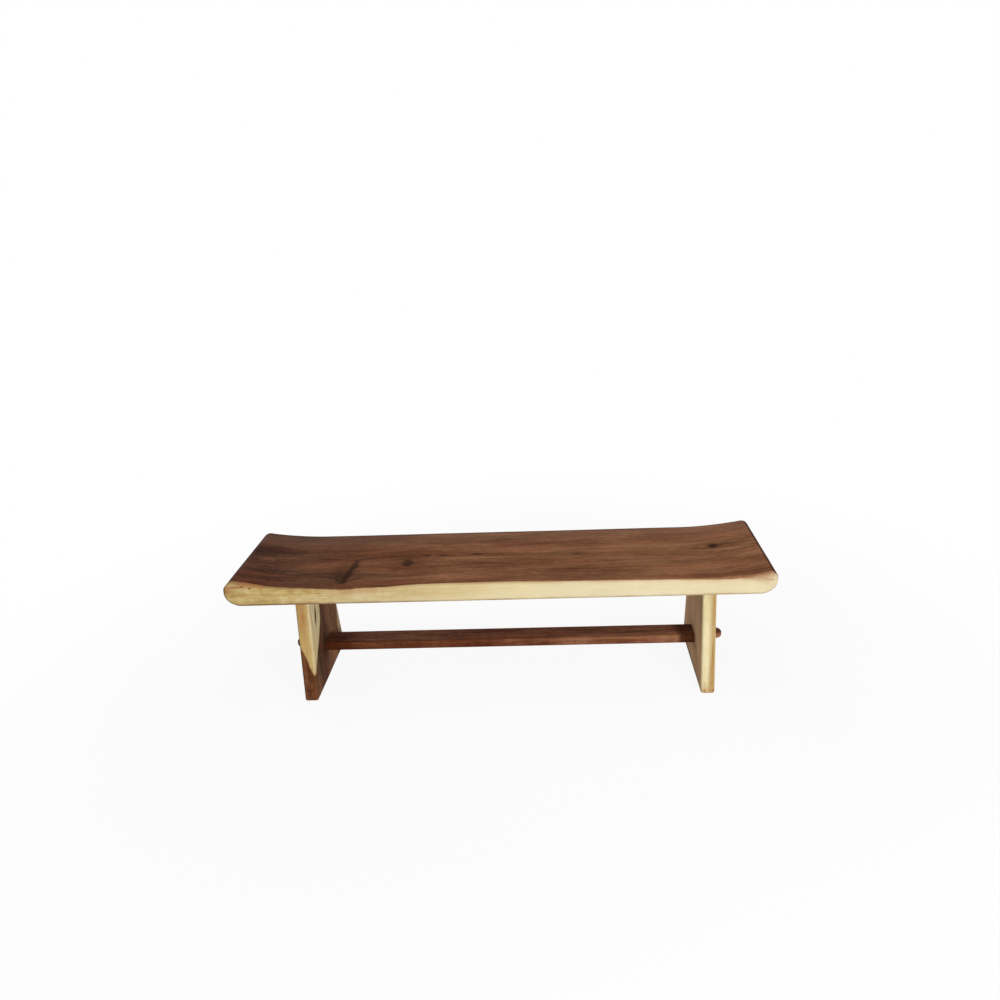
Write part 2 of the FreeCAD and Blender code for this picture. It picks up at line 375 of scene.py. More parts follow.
def left_leg_wood():
    """Dark heartwood with a strip of golden sapwood at the front, which runs out aslant towards the foot."""
    material, (x, y, z) = new_finish("left_leg_wood")
    low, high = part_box("left_leg")
    half = leg_half_width(z)
    inwards = (x - low.x) / (high.x - low.x)
    from_front = half + y
    at_front = from_front.fade(0.030, 0.004)
    across = y / half * (LEG_TOP_WIDTH / 2)
    tone, red, fibre, pore = figure(z, across, x, LEFT_LEG_PITH, LEG_RING, seed=3.1)
    waver = (x.noise(z * 9, x * 30, y * 16, 3) - 0.5) * 0.016
    # The sapwood is deep at the top and runs out lower on the inner face than on the outer.
    slant = z + inwards * 0.118
    depth = slant.fade(0.178, 0.388) * 0.122 - 0.004
    into_sap = depth + waver + (tone - 0.5) * 0.008 - from_front
    sap = into_sap.fade(-0.002, 0.003)
    # A second wedge of sapwood lies at the rear edge, widest at the foot.
    rear = (z.fade(0.30, 0.02) * 0.062 - 0.004 + waver * 0.5 - (half - y)).fade(-0.002, 0.007)
    # The heart is darker beside the sapwood and lighter up its middle and towards the foot.
    heart_tone = 0.40 + (tone - 0.5) * 1.9 - into_sap.fade(-0.045, -0.005) * 0.12
    light_strip = mark(z, y, (0.15, 0.0), (0.16, 0.030))
    heart_tone = heart_tone + light_strip * 0.12
    heart_tone = heart_tone + z.fade(0.15, 0.03) * 0.13 - inwards.fade(0.22, 0.0) * at_front * 0.14
    heart = heart_wood(heart_tone, red, pore, HEART_STOPS)
    heart = x.math("MINIMUM", inwards.fade(0.80, 1.0), 0.09).mix(heart, HEART_GREY)
    foot = at_front * (0.28 + inwards.fade(0.45, 0.95) * 0.36 + z.fade(0.05, 0.21) * 0.35)
    heart = (foot * (0.75 + (tone - 0.5) * 0.9)).mix(heart, WARM_BROWN)
    # Painted shade darkens the inner face round the rail's end.
    painted_joint_shade = mark(y, z, (-0.045, RAIL_MIDDLE_HEIGHT), (0.055, 0.045)) * inwards.fade(0.85, 1.0)
    heart = (painted_joint_shade * 0.40).mix(heart, KNOT_BROWN)
    heart = (rear * 0.80).mix(heart, tone.ramp(*REAR_SAP))
    # The sapwood is golden in front with an orange blush, and yellow with fine lines on the inner face.
    golden, yellow = tone.ramp(*GOLDEN_SAP), tone.ramp(*YELLOW_SAP)
    sap_colour = (inwards + waver * 8).fade(0.78, 0.98).mix(golden, yellow)
    mottle = x.noise(z * 22, x * 70, y * 40, 4, 0.6).fade(0.38, 0.64)
    blush = mark(inwards + waver * 14, z, (0.44, 0.330), (0.30, 0.095)) * (0.62 + mottle * 0.38)
    sap_colour = (blush * at_front).mix(sap_colour, SAP_ORANGE)
    inner_lines = x.noise(z * 5, y * 130, x * 40, 3, 0.6).fade(0.50, 0.66) * inwards.fade(0.85, 1.0)
    sap_colour = (inner_lines * 0.5).mix(sap_colour, SAP_TAN)
    edge_of_sap = into_sap.fade(0.012, 0.0) * (0.4 + at_front * 0.3)
    sap_colour = edge_of_sap.mix(sap_colour, SAP_TAN)
    colour = sap.mix(heart, sap_colour)
    # A dark slit is open high on the inner face, and two short lines mark the front near the foot.
    slit = mark(z, y + waver * 0.35, *SLIT) * inwards.fade(0.6, 0.9)
    colour = (slit.fade(0.02, 0.35) * 0.5).mix(colour, WARM_BROWN)
    opened = slit.fade(0.18, 0.60)
    colour = (opened * 0.95).mix(colour, KNOT_BROWN)
    for place in FOOT_LINES:
        line = mark(z, inwards + waver * 3, place, (0.022, 0.05), -12).fade(0.3, 0.9) * at_front
        colour = (line * 0.6).mix(colour, KNOT_BROWN)
    return wood_surface(material, colour, tone - opened, fibre, pore, LEG_ROUGHNESS)


def right_leg_wood():
    """Light brown heartwood behind a cream front edge, which is tanned on its outer half."""
    material, (x, y, z) = new_finish("right_leg_wood")
    low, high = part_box("right_leg")
    half = leg_half_width(z)
    outwards = (x - low.x) / (high.x - low.x)
    from_front = half + y
    across = y / half * (LEG_TOP_WIDTH / 2)
    tone, red, fibre, pore = figure(z, across, x, RIGHT_LEG_PITH, LEG_RING, seed=8.4)
    waver = (x.noise(z * 9, x * 30, y * 16, 3) - 0.5) * 0.006
    # The sapwood is a thin skin on the front edge, thicker outwards.
    into_sap = 0.0075 + outwards * 0.012 + waver + (tone - 0.5) * 0.006 - from_front
    sap = into_sap.fade(-0.003, 0.004)
    # The heart has painted shade along the foot's inner edge and round the rail.
    painted_foot_shade = (z + waver * 0.8).fade(0.026, 0.010) * y.fade(-0.20, -0.02) * outwards.fade(0.5, 0.15)
    heart = heart_wood(0.5 + (tone - 0.5) * 0.8, red * 0.35, pore * 0.7, LIGHT_HEART_STOPS)
    painted_joint_shade = mark(y, z, (0.0, RAIL_MIDDLE_HEIGHT), (0.065, 0.036)) * outwards.fade(0.15, 0.0)
    heart = (painted_joint_shade * 0.45).mix(heart, KNOT_BROWN)
    heart = (painted_foot_shade * 0.85).mix(heart, KNOT_BROWN)
    # The front edge has a brown thread in its tanned half, and tan and blots near the foot.
    sap_colour = tone.ramp(*PALE_SAP)
    tanned = (outwards + waver * 30 + (tone - 0.5) * 0.25).fade(0.42, 0.72) * outwards.fade(1.06, 0.84)
    tanned = tanned * (0.60 + x.noise(z * 7, x * 80, y * 20, 3).fade(0.35, 0.6) * 0.40)
    sap_colour = tanned.mix(sap_colour, EDGE_TAN)
    thread = mark(z, outwards + waver * 12, (0.135, 0.74), (0.055, 0.045)).fade(0.2, 0.9)
    sap_colour = (thread * 0.5).mix(sap_colour, WARM_BROWN)
    sap_colour = (outwards.fade(0.92, 1.0) * 0.35).mix(sap_colour, SAP_TAN)
    blots = x.noise(z * 55, x * 140, y * 30, 2).fade(0.52, 0.68) * z.fade(0.075, 0.01)
    sap_colour = ((z + waver * 3).fade(0.055, 0.006) * 0.60).mix(sap_colour, FOOT_TAN)
    sap_colour = (blots * 0.85).mix(sap_colour, FOOT_BLOT)
    colour = sap.mix(heart, sap_colour)
    return wood_surface(material, colour, tone, fibre, pore, LEG_ROUGHNESS)


finish_piece(cut_leg("left"), left_leg_wood(), "left_leg")
finish_piece(cut_leg("right"), right_leg_wood(), "right_leg")

# Rail
# One flat bar of dark heartwood lies between the legs and keeps them apart.
# Its shoulders bear on the legs' inner faces, and its tenons go through the mortises.
# Each tenon ends outside in a dome and has a slot for a key.
RAIL_WIDTH = 0.084
RAIL_THICKNESS = 0.032
RAIL_EASING = 0.006
RAIL_RING = 0.006
RAIL_PITH = (0.30, 0.02)
RAIL_ROUGHNESS = 0.42
TENON_WIDTH = 0.042
TENON_THICKNESS = 0.023
TENON_STAND = {"left": 0.063, "right": 0.054}
TIP_STEPS = 10
TIP_TURN = 87
TIP_DOME = 0.6
KEY_THICKNESS = 0.014
KEY_TOP_WIDTH = 0.021
KEY_TIP_WIDTH = 0.013
KEY_LENGTH = 0.084
SLOT_DRAW = 0.004
SLOT_HALF_HEIGHT = 0.02
SLOT_CLEARANCE = 0.0006
INNER_FACE = {"left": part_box("left_leg")[1].x, "right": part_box("right_leg")[0].x}
OUTER_FACE = {"left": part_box("left_leg")[0].x, "right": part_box("right_leg")[1].x}
OUTWARD = {"left": -1, "right": 1}


def draw_out(offset, scale=(1, 1, 1), centre=(0, 0, 0)):
    """Extrudes the selected end by an offset, then resizes the new end about a centre."""
    bpy.ops.mesh.extrude_region_move(TRANSFORM_OT_translate={"value": offset})
    bpy.ops.transform.resize(value=scale, center_override=centre)


def key_blank(name, side, bottom, top, inset, thickness):
    """A block that tapers outside as a key does, upright on the leg's face or set into it by an inset."""
    face, out = OUTER_FACE[side], OUTWARD[side]
    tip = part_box(side + "_tusk_key")[0].z
    widening = (KEY_TOP_WIDTH - KEY_TIP_WIDTH) / KEY_LENGTH
    bottom_width = KEY_TIP_WIDTH + widening * (bottom - tip)
    ends = sorted((face - out * inset, face + out * bottom_width))
    blank = start_block(name, (ends[0], -thickness / 2, bottom), (ends[1], thickness / 2, top))

    def at_outer_top(place, run):
        return abs(run.y) > NEAR and place.z > top - NEAR and (place.x - face) * out > NEAR

    pick("EDGE", at_outer_top)
    bpy.ops.transform.translate(value=(out * widening * (top - bottom), 0, 0))
    return blank


rail = start_block(
    "rail",
    (INNER_FACE["left"], -RAIL_WIDTH / 2, RAIL_MIDDLE_HEIGHT - RAIL_THICKNESS / 2),
    (INNER_FACE["right"], RAIL_WIDTH / 2, RAIL_MIDDLE_HEIGHT + RAIL_THICKNESS / 2),
)
ease(RAIL_EASING, EASING_STEPS, lambda place, run: abs(run.x) > NEAR)
for side, out in OUTWARD.items():
    pick("FACE", lambda place, normal: normal.x * out > FACING)
    centre = (0, 0, RAIL_MIDDLE_HEIGHT)
    draw_out((0, 0, 0), (1, TENON_WIDTH / RAIL_WIDTH, TENON_THICKNESS / RAIL_THICKNESS), centre)
    straight = OUTER_FACE[side] + out * (TENON_STAND[side] - TENON_WIDTH / 2)
    draw_out((straight - INNER_FACE[side], 0, 0))
    reach, width, height = 0, 1, 1
    for step in range(1, TIP_STEPS + 1):
        turn = math.radians(TIP_TURN * step / TIP_STEPS)
        new_reach, new_width = math.sin(turn), math.cos(turn)
        new_height = 1 - TIP_DOME * (1 - math.cos(turn))
        draw_out(
            (out * TENON_WIDTH / 2 * (new_reach - reach), 0, 0),
            (1, new_width / width, new_height / height),
            centre,
        )
        reach, width, height = new_reach, new_width, new_height
close_shape()
for side in OUTWARD:
    key_slot = key_blank(
        "key_slot",
        side,
        RAIL_MIDDLE_HEIGHT - SLOT_HALF_HEIGHT,
        RAIL_MIDDLE_HEIGHT + SLOT_HALF_HEIGHT,
        SLOT_DRAW,
        KEY_THICKNESS + SLOT_CLEARANCE,
    )
    close_shape()
    cut_away(rail, key_slot)

RAIL_STOPS = ((0.15, screen(60, 30, 20)), (0.5, screen(126, 80, 57)), (0.85, screen(172, 122, 92)))
RAIL_RED = screen(112, 54, 24)
RAIL_GREY = screen(116, 88, 82)
RAIL_HIGHLIGHT = screen(178, 126, 90)


def rail_wood():
    """Red-brown heartwood, darker in front, with a painted arris highlight and painted shade below and near
    the legs.
    """
    material, (x, y, z) = new_finish("rail_wood")
    left, right = OUTER_FACE["left"], OUTER_FACE["right"]
    tone, red, fibre, pore = figure(x, y, z, RAIL_PITH, RAIL_RING, seed=5.7)
    height = z - RAIL_MIDDLE_HEIGHT
    under_top = RAIL_THICKNESS / 2 - height
    over_arris = 0.010 - under_top - (y + RAIL_WIDTH / 2) * 0.5
    # A painted highlight lightens the front arris, fading out near the legs.
    painted_arris_highlight = over_arris.fade(-0.005, 0.003) * (0.08 + x.fade(0.15, 0.45) * 0.30 + (fibre - 0.5) * 0.6)
    painted_arris_highlight = painted_arris_highlight * x.fade(left + 0.06, left + 0.18) * x.fade(right - 0.085, right - 0.115)
    # Painted shade darkens the rail's lower edge and underside.
    painted_under_shade = height.fade(-0.010, -0.016)
    # Painted light makes the right tenon's tip lighter, and painted shade darkens its top.
    painted_tip_light_and_shade = x.fade(right, right + 0.002) * (0.30 - height.fade(-0.002, 0.009) * 0.42)
    # Painted shade darkens the rail towards the left leg and the left tenon's tip.
    painted_left_end_shade = x.fade(left + 0.22, left + 0.09) * 0.20 + x.fade(left, left - 0.002) * 0.34
    shadowed = x.fade(right - 0.115, right - 0.085) * x.fade(right, right - 0.002)
    at_front = y.fade(-0.026, -0.036)
    tone = 0.5 + (tone - 0.5) * 1.6 + at_front * (x.fade(-0.25, 0.05) * 0.20 - 0.14) - painted_under_shade * 0.12
    tone = tone + x.fade(0.20, 0.45) * (1 - at_front) * 0.06 - shadowed * 0.25 + painted_tip_light_and_shade - painted_left_end_shade
    colour = heart_wood(tone, red, pore, RAIL_STOPS)
    colour = (at_front * x.fade(0.15, -0.25) * 0.35).mix(colour, RAIL_RED)
    colour = ((1 - at_front) * 0.12).mix(colour, RAIL_GREY)
    colour = painted_arris_highlight.mix(colour, RAIL_HIGHLIGHT)
    return wood_surface(material, colour, tone, fibre, pore, RAIL_ROUGHNESS)


finish_piece(rail, rail_wood(), "stretcher")

# Tusk keys
# A tapered key is tapped down through each tenon and draws the leg against the rail's shoulder.
# It is sawn from a straight-grained strip of the rail's wood, with its edges eased.
KEY_EASING = 0.0015
KEY_EASING_STEPS = 3
KEY_PITH = (0.2, 0.3)


def key_wood(side):
    """The rail's red-brown heartwood with the grain upright."""
    material, (x, y, z) = new_finish(side + "_key_wood")
    tone, red, fibre, pore = figure(z, y, x, KEY_PITH, RAIL_RING, seed=11.3)
    colour = heart_wood(tone, red, pore, RAIL_STOPS)
    return wood_surface(material, colour, tone, fibre, pore, RAIL_ROUGHNESS)


for side in OUTWARD:
    low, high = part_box(side + "_tusk_key")
    key = key_blank(side + "_key", side, low.z, high.z, 0, KEY_THICKNESS)
    ease(KEY_EASING, KEY_EASING_STEPS, lambda place, run: True)
    close_shape()
    finish_piece(key, key_wood(side), side + "_tusk_key")

# Dowels
# Four fluted pins in the top of each leg hold the seat, glued into holes that no side of the bench shows.
# They are bought in a pale hardwood and keep their CAD shape.
DOWEL_RING = 0.002
DOWEL_PITH = (0.4, 0.3)
DOWEL_ROUGHNESS = 0.55
DOWEL_STOPS = ((0.25, screen(196, 162, 116)), (0.75, screen(226, 200, 158)))
dowel_wood, (x, y, z) = new_finish("dowel_wood")
tone, red, fibre, pore = figure(z, y, x, DOWEL_PITH, DOWEL_RING, seed=2.2)
wood_surface(dowel_wood, tone.ramp(*DOWEL_STOPS), tone, fibre, pore, DOWEL_ROUGHNESS)
for name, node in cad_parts.items():
    if "_leg_dowel_" in name:
        node.data.materials.clear()
        node.data.materials.append(dowel_wood)

# Seat
# A single thick slab, flat in the middle, sweeps up at both ends to a rounded crest and a full round nose.
# It is dark heartwood with knots; the front keeps the tree's pale sapwood from the top edge down.
SEAT_LENGTH = 1.8
SEAT_WIDTH = 0.446
SEAT_UNDERSIDE = 0.389
SEAT_TOP = 0.450
SEAT_CREST = 0.470
SEAT_EASING = 0.010
SEAT_WAVE = 0.0012
SEAT_WAVE_LENGTH = 0.16
SEAT_WAVE_START = 0.004
SEAT_SCORES = ((0, -0.885, 0.885, 0.030), (1, -0.200, 0.200, 0.025), (2, 0.404, 0.436, 0.016))
SEAT_RING = 0.0075
SEAT_PITH = (0.75, 0.10)
SEAT_ROUGHNESS = 0.46
UPSWEEP_RUN = 0.230
UPSWEEP_STEPS = 14
CREST_RADIUS = 0.02592
NOSE_HEIGHT = 0.04617
NOSE_LENGTH = NOSE_HEIGHT * 1.18
NOSE_STEPS = 30
NOSE_START = SEAT_LENGTH / 2 - NOSE_LENGTH
CREST_START = SEAT_LENGTH / 2 - CREST_RADIUS
UPSWEEP_START = CREST_START - UPSWEEP_RUN
UPSWEEP_RISE = SEAT_CREST - SEAT_TOP
CENTRES_APART = (UPSWEEP_RUN**2 + UPSWEEP_RISE**2) / (2 * UPSWEEP_RISE)
UPSWEEP_RADIUS = CENTRES_APART - CREST_RADIUS


def seat_section(x):
    """The seat's underside and top at a distance from its middle."""
    under, top = SEAT_UNDERSIDE, SEAT_TOP
    along_nose = (x - SEAT_LENGTH / 2) / NOSE_LENGTH + 1
    if along_nose > 0:
        under += NOSE_HEIGHT * (1 - math.sqrt(max(1 - along_nose**2, 0)))
    if x > CREST_START - CREST_RADIUS * UPSWEEP_RUN / CENTRES_APART:
        top = SEAT_CREST - CREST_RADIUS + math.sqrt(max(CREST_RADIUS**2 - (x - CREST_START) ** 2, 0))
    elif x > UPSWEEP_START:
        top = SEAT_TOP + UPSWEEP_RADIUS - math.sqrt(UPSWEEP_RADIUS**2 - (x - UPSWEEP_START) ** 2)
    return under, top


def at_long_edge(place, run):
    """Whether an edge lies along the front or back of the seat."""
    return abs(abs(place.y) - SEAT_WIDTH / 2) < NEAR and abs(run.y) < NEAR


stations = []
for i in range(1, UPSWEEP_STEPS + 1):
    stations.append(UPSWEEP_START + (NOSE_START - UPSWEEP_START) * i / UPSWEEP_STEPS)
for i in range(1, NOSE_STEPS + 1):
    stations.append(NOSE_START + NOSE_LENGTH * math.sin(math.radians(90 * i / NOSE_STEPS)))
seat = start_block(
    "seat_board",
    (-UPSWEEP_START, -SEAT_WIDTH / 2, SEAT_UNDERSIDE),
    (UPSWEEP_START, SEAT_WIDTH / 2, SEAT_TOP),
)
for out in (-1, 1):
    pick("FACE", lambda place, normal: normal.x * out > FACING)
    before, under, top = UPSWEEP_START, SEAT_UNDERSIDE, SEAT_TOP
    for station in stations:
        new_under, new_top = seat_section(station)
        draw_out(
            (out * (station - before), 0, new_under - under),
            (1, 1, (new_top - new_under) / (top - under)),
            (0, 0, new_under),
        )
        before, under, top = station, new_under, new_top
for out in (-1, 1):
    pick("FACE", lambda place, normal: normal.y * out > FACING)
    bpy.ops.mesh.dissolve_faces()
ease(SEAT_EASING, EASING_STEPS, at_long_edge)
for axis, first, last, step in SEAT_SCORES:
    score(axis, first, last, step)
close_shape()
shown = seat.vertex_groups.new(name="shown_faces")
above = [v.index for v in seat.data.vertices if v.co.z > SEAT_UNDERSIDE + SEAT_WAVE_START]
shown.add(above, 1.0, "REPLACE")
hand_wave(seat, SEAT_WAVE, SEAT_WAVE_LENGTH, "shown_faces")

# Knots and clouds have a place on the top, half sizes and a strength; flecks have a turn in degrees too.
KNOTS = (
    ((0.737, 0.030), (0.021, 0.019), 1.0),
    ((-0.318, -0.040), (0.021, 0.032), 0.95),
    ((-0.868, 0.055), (0.014, 0.016), 0.8),
    ((-0.838, 0.078), (0.012, 0.010), 0.5),
    ((-0.149, 0.073), (0.014, 0.012), 0.25),
    ((-0.611, 0.008), (0.012, 0.014), 0.65),
    ((0.262, 0.002), (0.014, 0.010), 0.45),
)
DARK_FLECKS = (
    ((-0.259, 0.017), (0.018, 0.0080), 0, 0.80),
    ((-0.203, 0.015), (0.018, 0.0065), 0, 0.70),
    ((-0.165, 0.013), (0.080, 0.0060), 0, 0.45),
    ((-0.086, 0.020), (0.026, 0.0090), 0, 0.85),
    ((-0.050, 0.022), (0.040, 0.0060), 2, 0.45),
    ((-0.426, 0.010), (0.080, 0.0060), 9, 0.75),
    ((-0.320, 0.022), (0.060, 0.0055), 2, 0.50),
    ((-0.577, -0.142), (0.050, 0.0065), -17, 0.60),
    ((-0.533, -0.164), (0.018, 0.0070), -53, 0.60),
    ((-0.476, -0.158), (0.024, 0.0070), 33, 0.55),
    ((-0.300, -0.052), (0.045, 0.0080), -5, 0.35),
    ((0.372, -0.062), (0.050, 0.0055), 0, 0.45),
    ((0.450, -0.058), (0.060, 0.0050), 0, 0.40),
    ((0.690, 0.018), (0.045, 0.0070), 0, 0.40),
    ((0.775, 0.037), (0.030, 0.0065), 6, 0.40),
)
CLOUDS = (
    ((-0.80, 0.090), (0.09, 0.030), -0.08),
    ((-0.80, -0.165), (0.10, 0.045), -0.11),
    ((-0.54, -0.11), (0.020, 0.060), -0.08),
    ((-0.66, -0.06), (0.08, 0.030), 0.07),
    ((-0.45, 0.165), (0.50, 0.035), -0.09),
    ((-0.49, 0.042), (0.08, 0.020), 0.10),
    ((-0.05, -0.008), (0.20, 0.010), 0.10),
    ((0.10, 0.055), (0.26, 0.018), 0.09),
    ((0.30, -0.13), (0.22, 0.025), -0.09),
    ((0.36, 0.020), (0.14, 0.012), 0.10),
    ((0.55, -0.042), (0.20, 0.022), 0.12),
    ((0.62, 0.065), (0.16, 0.020), 0.06),
    ((0.765, -0.003), (0.09, 0.007), 0.24),
    ((0.82, -0.180), (0.09, 0.028), -0.16),
)
SPIKE_MIDDLE = (-0.5023, -0.093)
SPIKE_FOOT = (-0.512, -0.165)
SPIKE_TURN = 83.5


def knots_and_flecks(x, y, z, ragged, frayed):
    """How dark the top's knots and flecks are, how its tone shifts and how far knots push the rings aside."""
    flake = x.noise(x * 40, y * 75, z * 20, 3, 0.6).fade(0.34, 0.58)
    shift = x.fade(-0.95, -0.10) * 0.29 + x.fade(0.0, 0.8) * 0.09 - 0.23
    push = mark(x, y, SPIKE_FOOT, (0.06, 0.028)) * -0.016
    dark = 0
    for middle, size, strength in KNOTS:
        around = mark(x, y, middle, (size[0] * 4.5, size[1] * 2.6))
        push = push + (y - middle[1]) * around * 0.6
        shift = shift - around * 0.14 * strength
        knot = mark(x + ragged + frayed * 0.4, y + ragged, middle, size).fade(0.12, 0.85)
        dark = dark + knot * strength * (0.74 + flake * 0.26)
    for middle, size, turn, strength in DARK_FLECKS:
        dark = dark + mark(x + frayed * 0.5, y + ragged * 0.2, middle, size, turn).fade(0.1, 0.9) * strength
    for middle, size, change in CLOUDS:
        shift = shift + mark(x + frayed, y + ragged * 0.6, middle, size) * change
    return dark, shift, push


def spike(x, y, z, ragged):
    """How dark the long spike is that crosses the top from near the front edge, with a softer left side."""
    bent = (x.noise(y * 14, z * 2, 3.3, 2) - 0.5) * 0.016 + ragged * 1.2
    reach = y.fade(-0.200, -0.180) * y.fade(0.012, -0.020)
    hatch = x.noise(x * 30, y * 45, z * 5, 2).fade(0.30, 0.62)
    core = mark(x + bent, y, SPIKE_MIDDLE, (4, 0.0130), SPIKE_TURN).fade(0.02, 0.95)
    core = core * (0.50 + hatch * 0.28 + y.fade(-0.13, -0.165) * 0.30)
    halo = mark(x + bent + 0.018, y, SPIKE_MIDDLE, (4, 0.028), SPIKE_TURN) * y.fade(0.0, -0.09)
    return (core + halo * (0.22 + hatch * 0.22)) * reach


# How far the sapwood reaches over the top from the front edge, at places along the seat.
SAP_DEPTHS = (
    (-0.90, 0.040), (-0.82, 0.035), (-0.76, 0.020), (-0.65, 0.010), (-0.58, 0.002), (-0.51, -0.002),
    (-0.45, 0.0005), (-0.38, 0.0035), (-0.32, 0.008), (-0.255, 0.017), (-0.06, 0.020), (0.135, 0.016),
    (0.26, 0.0105), (0.40, 0.0105), (0.58, 0.0045), (0.70, 0.0010), (0.76, 0.0000), (0.81, 0.001),
    (0.85, 0.003), (0.88, 0.008), (0.90, 0.016),
)
DEPTH_SPAN = 0.06
DEPTH_LEAST = -0.01


def sap_depth(x):
    """The sapwood's depth at a place along the seat, as a smooth line through the depths."""
    along = (x + SEAT_LENGTH / 2) / SEAT_LENGTH
    stops = []
    for place, depth in SAP_DEPTHS:
        level = (depth - DEPTH_LEAST) / DEPTH_SPAN
        stops.append((place / SEAT_LENGTH + 0.5, (level, level, level, 1)))
    levels = along.node("ShaderNodeValToRGB", {"stops": stops, "easing": "B_SPLINE"}, {"Fac": along})
    return along.node("ShaderNodeSeparateColor", None, {"Color": levels}) * DEPTH_SPAN + DEPTH_LEAST


SAP_GREY_AND_NOSE_SHADE = screen(200, 182, 150)
SAP_ROSE = screen(200, 162, 118)
SAP_YELLOW = screen(236, 214, 158)
SHORE_BROWN = screen(136, 95, 56)
DASH_BROWN = screen(150, 106, 60)
BLUSH_ORANGE = screen(182, 118, 70)
ARRIS_SHADE_TAN = screen(176, 128, 92)
RIM_BROWN = screen(92, 66, 38)
END_TAN = screen(168, 124, 78)
UNDER_SHADE_BROWN = screen(104, 62, 40)

# Marks on the front have a place along and up it, half sizes and a strength; the painted shade line has a
# turn instead.
BLUSHES = (
    ((-0.893, 0.448), (0.020, 0.013), 0.85),
    ((-0.862, 0.458), (0.034, 0.0045), 0.60),
    ((-0.795, 0.4575), (0.050, 0.0040), 0.50),
    ((-0.815, 0.4640), (0.040, 0.0045), 0.75),
    ((-0.635, 0.3965), (0.050, 0.0070), 0.40),
)
SPECKS = (
    ((-0.835, 0.4600), (0.008, 0.0022), 0.65),
    ((-0.809, 0.4545), (0.005, 0.0028), 0.75),
    ((-0.860, 0.4615), (0.018, 0.0014), 0.5),
)
ARRIS_SHADE_LINE = ((0.874, 0.4425), (0.026, 0.0026), -11)


def sapwood(x, y, z, tone, golden, into_sap, depth):
    """The front's sapwood: golden and streaked at the left, cream at the right, tan beside the heartwood."""
    blotch = x.noise(x * 32, y * 30, z * 80, 3, 0.6) - 0.5
    sap_tone = 0.5 + (tone - 0.5) * (0.40 + golden * 1.4) + blotch * golden * 0.4
    colour = golden.mix(sap_tone.ramp(*CREAM_SAP), sap_tone.ramp(*GOLDEN_SAP))
    # The right half is a little greyer, and painted shade greys the right nose.
    colour = (x.fade(0.45, 0.80) * 0.10 + x.fade(0.82, 0.90) * 0.25).mix(colour, SAP_GREY_AND_NOSE_SHADE)
    colour = (x.fade(-0.45, -0.15) * x.fade(0.35, 0.05) * 0.35).mix(colour, SAP_YELLOW)
    tan_width = 0.014 - x.fade(0.45, 0.75) * 0.005 + x.fade(0.81, 0.88) * 0.009
    tan_width = tan_width + x.fade(-0.30, -0.05) * x.fade(0.45, 0.20) * 0.008
    tan_zone = (into_sap / tan_width).fade(1.0, 0.05) * (1 - x.fade(0.55, 0.80) * 0.25)
    tan_zone = tan_zone * (0.50 + x.noise(x * 11, y * 20, z * 20, 3).fade(0.3, 0.65) * 0.35)
    colour = tan_zone.mix(colour, SAP_ROSE)
    shore = (into_sap / (depth + 0.005 + x.fade(-0.80, -0.86) * 0.006)).fade(1.0, 0.0)
    colour = (shore * x.fade(-0.54, -0.70) * 0.85).mix(colour, SHORE_BROWN)
    thread = x.noise(x * 5, y * 60, z * 260, 3, 0.65).fade(0.56, 0.70) * (0.10 + golden * 0.55)
    colour = thread.mix(colour, SAP_TAN)
    dash = x.noise(x * 26, y * 60, z * 210, 3, 0.65).fade(0.60, 0.72) * x.fade(-0.35, -0.70)
    colour = (dash * 0.75).mix(colour, DASH_BROWN)
    at_lower_edge = (z - SEAT_UNDERSIDE).fade(0.016, 0.003)
    stained = x.noise(x * 12, y * 20, z * 60, 3, 0.6).fade(0.48, 0.68) * at_lower_edge
    return (stained * 0.7).mix(colour, SAP_TAN)


def front_marks(x, z, colour, ragged, frayed):
    """The sapwood with its blushes and specks, a painted shade line near the right end and a dark rim on the
    left nose.
    """
    for middle, size, strength in BLUSHES:
        blush = mark(x + ragged, z + ragged * 0.4, middle, size)
        colour = (blush * strength).mix(colour, BLUSH_ORANGE)
    for middle, size, strength in SPECKS:
        speck = mark(x + frayed * 0.1, z + ragged * 0.2, middle, size).fade(0.2, 0.8)
        colour = (speck * strength).mix(colour, KNOT_BROWN)
    # A painted shade line runs where the top turns down into the front near the right end.
    arris_shade = mark(x + frayed * 0.1, z + ragged * 0.1, *ARRIS_SHADE_LINE).fade(0.1, 0.9)
    colour = (arris_shade * 0.55).mix(colour, ARRIS_SHADE_TAN)
    to_end = x.math("MINIMUM", x + NOSE_START, 0) / NOSE_LENGTH
    to_under = x.math("MINIMUM", z - SEAT_UNDERSIDE - NOSE_HEIGHT, 0) / NOSE_HEIGHT
    rim = x.math("SQRT", to_end * to_end + to_under * to_under).fade(0.78, 0.96) * x.fade(-0.848, -0.872)
    return (rim * 0.75).mix(colour, RIM_BROWN)


